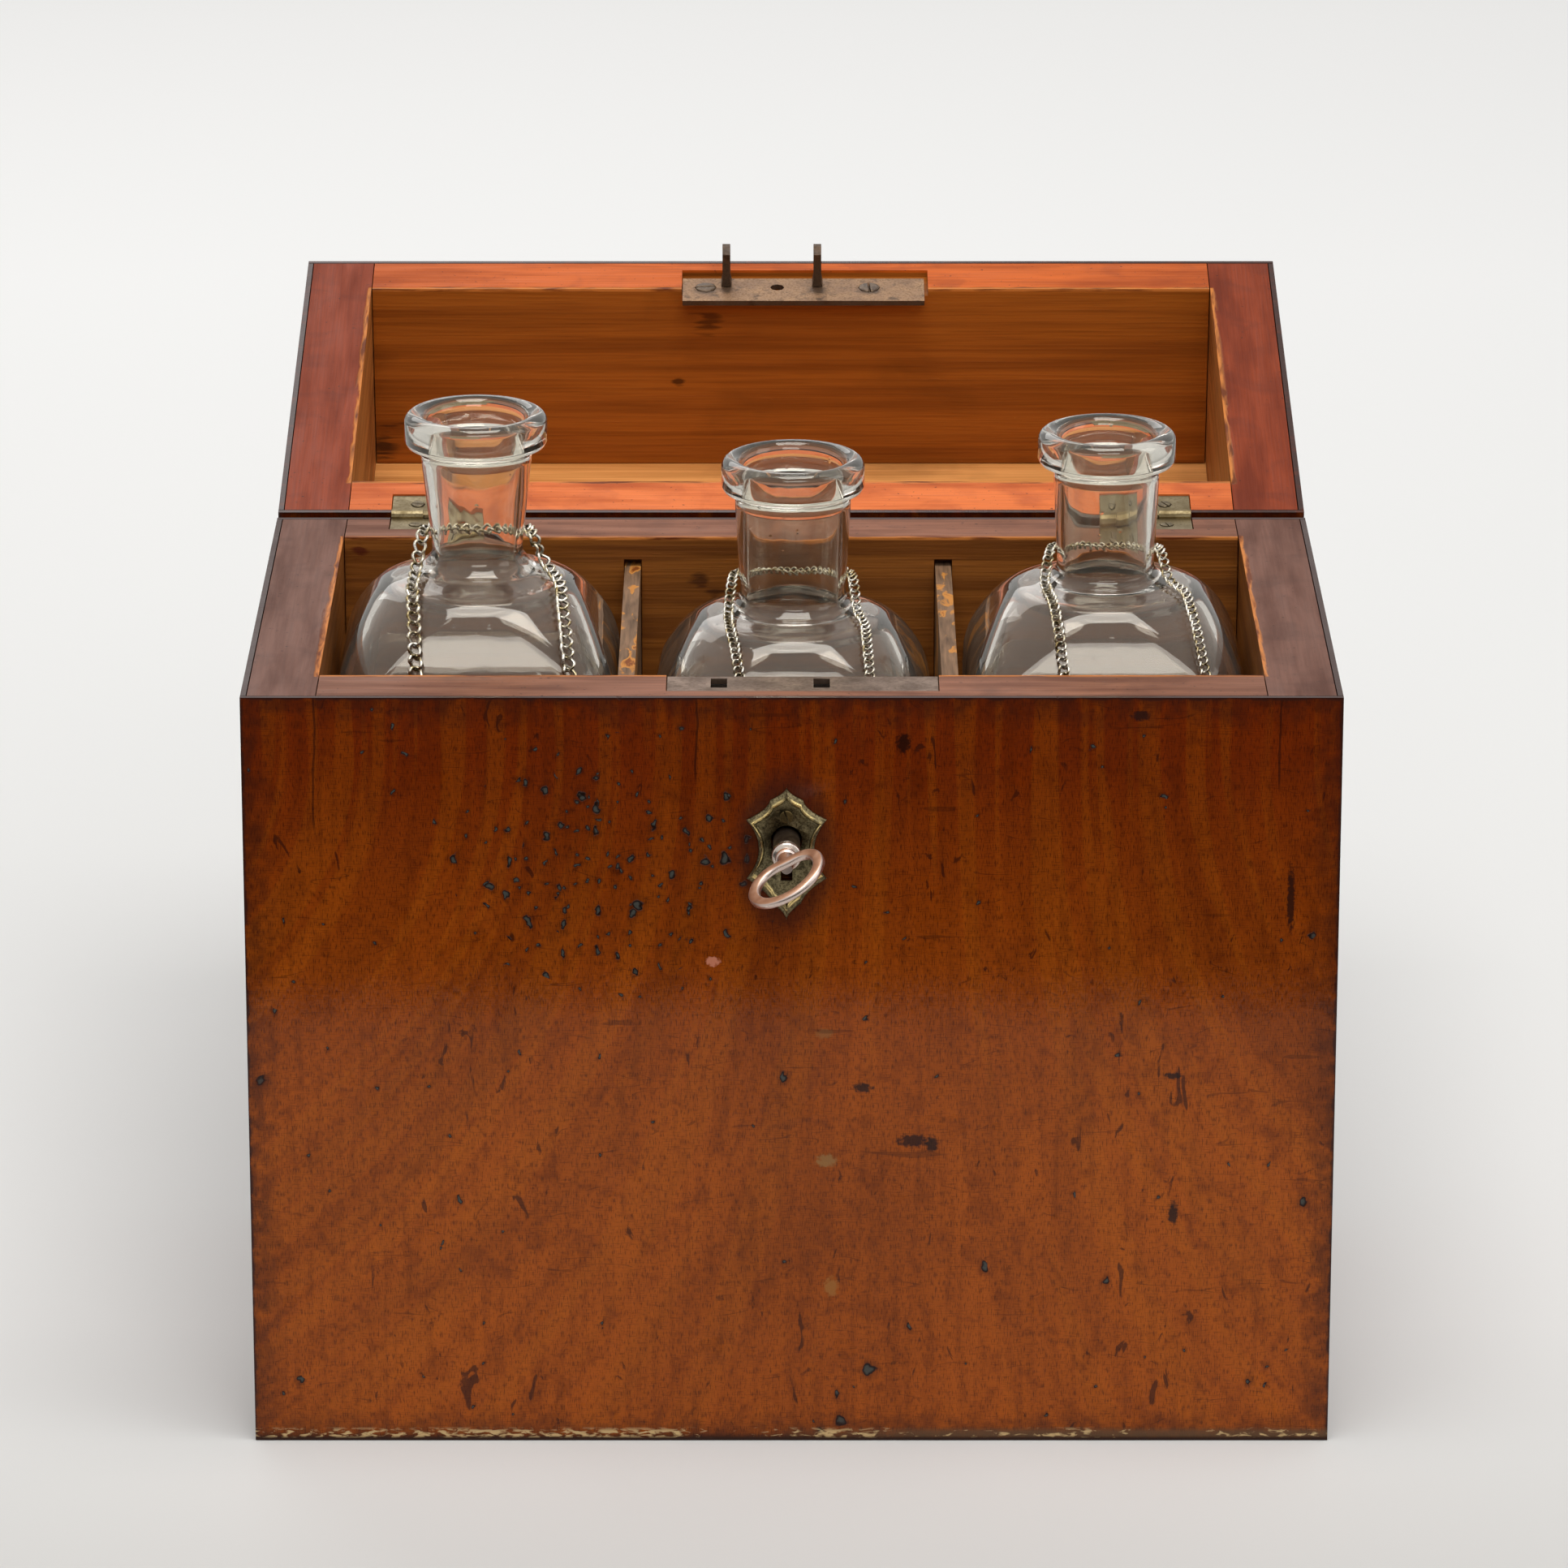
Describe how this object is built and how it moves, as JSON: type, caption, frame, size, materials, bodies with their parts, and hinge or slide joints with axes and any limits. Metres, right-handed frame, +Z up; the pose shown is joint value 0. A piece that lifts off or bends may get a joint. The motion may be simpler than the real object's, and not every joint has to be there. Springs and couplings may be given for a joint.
{
  "type": "bottle case",
  "caption": "Wooden travelling case with a hinged lid, box lock, key and divided inside, holding square glass bottles with round necks and chains.",
  "frame": {"origin": "middle of the flat base that the case stands on", "axes": "+Z up, +X to the right of someone who faces the lock, +Y away from them towards the hinges"},
  "size_m": [0.3, 0.407, 0.2745],
  "materials": {
    "pine": "bare aged pine",
    "mahogany_veneer": "french polish, worn",
    "brass": "dull",
    "dark_brass": "tarnished",
    "iron_screw": "aged",
    "lock_iron": "brown patina",
    "key_nickel": "worn nickel",
    "clear_glass": "clear, mould blown",
    "chain_silver": "aged silver"
  },
  "bodies": {
    "case": {"bottom_board": "pine", "front_board": "pine", "rear_board": "pine", "left_side_board": "pine", "right_side_board": "pine", "front_veneer": "mahogany_veneer", "rear_veneer": "mahogany_veneer", "left_veneer": "mahogany_veneer", "right_veneer": "mahogany_veneer", "left_divider": "pine", "right_divider": "pine", "lock_selvedge_plate": "lock_iron", "lock_back_plate": "lock_iron", "lock_cap": "lock_iron", "drill_pin": "lock_iron", "lock_upper_left_screw": "iron_screw", "lock_upper_right_screw": "iron_screw", "lock_lower_left_screw": "iron_screw", "lock_lower_right_screw": "iron_screw", "escutcheon": "dark_brass", "escutcheon_pin": "dark_brass", "left_hinge_body_leaf": "brass", "right_hinge_body_leaf": "brass", "left_hinge_pin": "brass", "right_hinge_pin": "brass", "left_hinge_body_outer_screw": "iron_screw", "left_hinge_body_inner_screw": "iron_screw", "right_hinge_body_outer_screw": "iron_screw", "right_hinge_body_inner_screw": "iron_screw"},
    "lid": {"lid_front_board": "pine", "lid_rear_board": "pine", "lid_left_side_board": "pine", "lid_right_side_board": "pine", "lid_top_board": "pine", "lid_front_veneer": "mahogany_veneer", "lid_rear_veneer": "mahogany_veneer", "lid_left_veneer": "mahogany_veneer", "lid_right_veneer": "mahogany_veneer", "lid_top_veneer": "mahogany_veneer", "hook_plate": "lock_iron", "hook_plate_left_screw": "iron_screw", "hook_plate_right_screw": "iron_screw", "left_hook": "lock_iron", "right_hook": "lock_iron", "left_hinge_lid_leaf": "brass", "right_hinge_lid_leaf": "brass", "left_hinge_lid_outer_screw": "iron_screw", "left_hinge_lid_inner_screw": "iron_screw", "right_hinge_lid_outer_screw": "iron_screw", "right_hinge_lid_inner_screw": "iron_screw"},
    "bolt": {"lock_bolt": "lock_iron"},
    "key": {"key": "key_nickel"},
    "left_bottle_with_chain": {"left_bottle": "clear_glass", "left_chain": "chain_silver"},
    "middle_bottle_with_chain": {"middle_bottle": "clear_glass", "middle_chain": "chain_silver"},
    "right_bottle_with_chain": {"right_bottle": "clear_glass", "right_chain": "chain_silver"}
  },
  "joints": [
    {"name": "lid_hinge", "type": "hinge", "parent": "case", "child": "lid", "pos_m": [0, 0.0891, 0.21815], "axis": [-1, 0, 0], "range_deg": [-169.6, 0]},
    {"name": "key_turn", "type": "hinge", "parent": "case", "child": "key", "pos_m": [-0.0014, -0.087, 0.177], "axis": [0, 1, 0], "range_deg": [-120, 0]},
    {"name": "bolt_slide", "type": "slide", "parent": "case", "child": "bolt", "axis": [1, 0, 0], "range_m": [-0.006, 0]},
    {"name": "left_bottle_lift", "type": "slide", "parent": "case", "child": "left_bottle_with_chain", "axis": [0, 0, 1], "range_m": [0, 0.22]},
    {"name": "middle_bottle_lift", "type": "slide", "parent": "case", "child": "middle_bottle_with_chain", "axis": [0, 0, 1], "range_m": [0, 0.22]},
    {"name": "right_bottle_lift", "type": "slide", "parent": "case", "child": "right_bottle_with_chain", "axis": [0, 0, 1], "range_m": [0, 0.22]}
  ],
  "couplings": [
    {"joint": "bolt_slide", "follows": "key_turn", "m_per_rad": 0.0028648}
  ]
}
